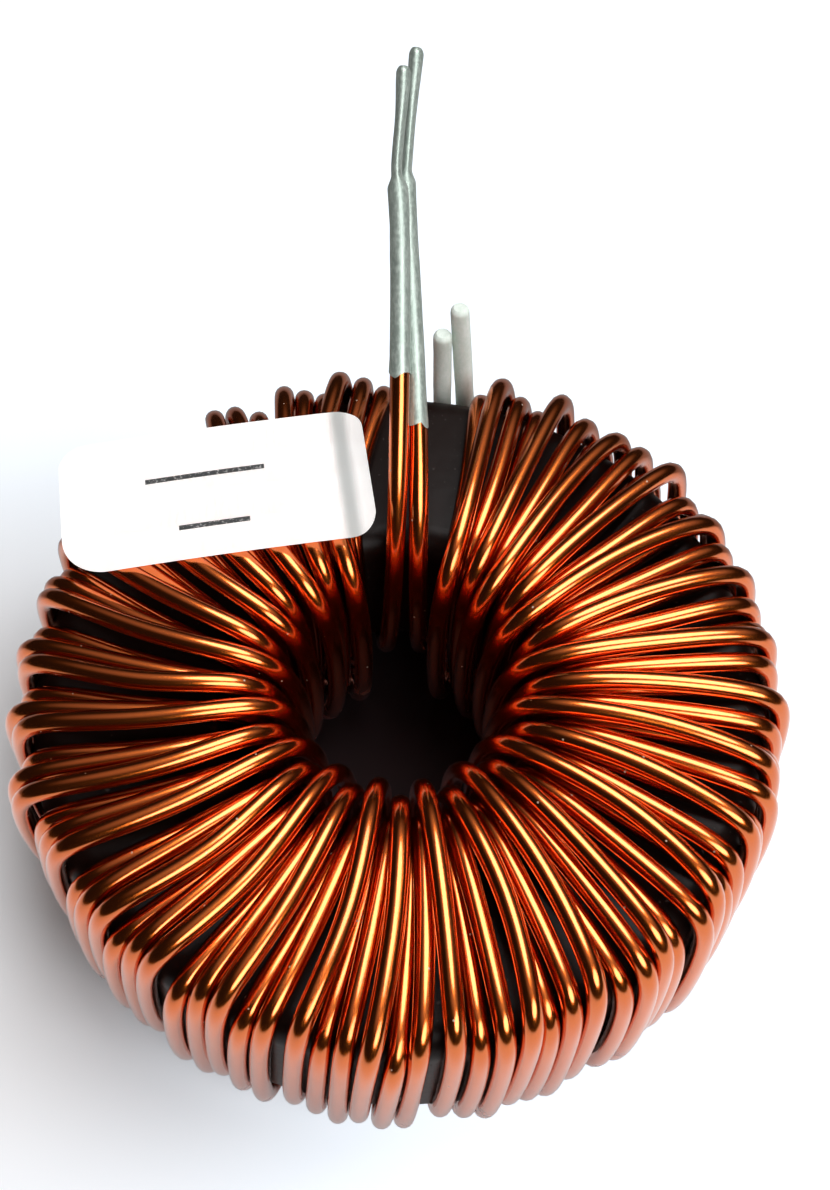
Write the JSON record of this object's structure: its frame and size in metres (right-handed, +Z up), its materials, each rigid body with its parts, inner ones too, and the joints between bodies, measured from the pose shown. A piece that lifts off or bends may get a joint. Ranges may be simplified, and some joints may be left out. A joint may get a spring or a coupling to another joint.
{
  "type": "toroidal power inductor",
  "caption": "Ring-shaped power inductor lying flat: black coated core wound with paired enamelled copper wire, tinned lead pairs standing up at the back, blank paper label.",
  "frame": {"origin": "on the ring's axis, on the flat surface that the winding rests on", "axes": "+Z up along the ring's axis; +Y towards the back, where both leads are; +X to the right as seen from the front"},
  "size_m": [0.0623, 0.0759, 0.0471],
  "materials": {
    "core_coating": "glossy black",
    "enamelled_copper": "glossy enamel",
    "label_paper": "satin white",
    "tinned_copper": "dull tin"
  },
  "bodies": {
    "root": {"core": "core_coating", "winding_strand_1": "enamelled_copper", "winding_strand_2": "enamelled_copper", "label": "label_paper"}
  },
  "joints": []
}
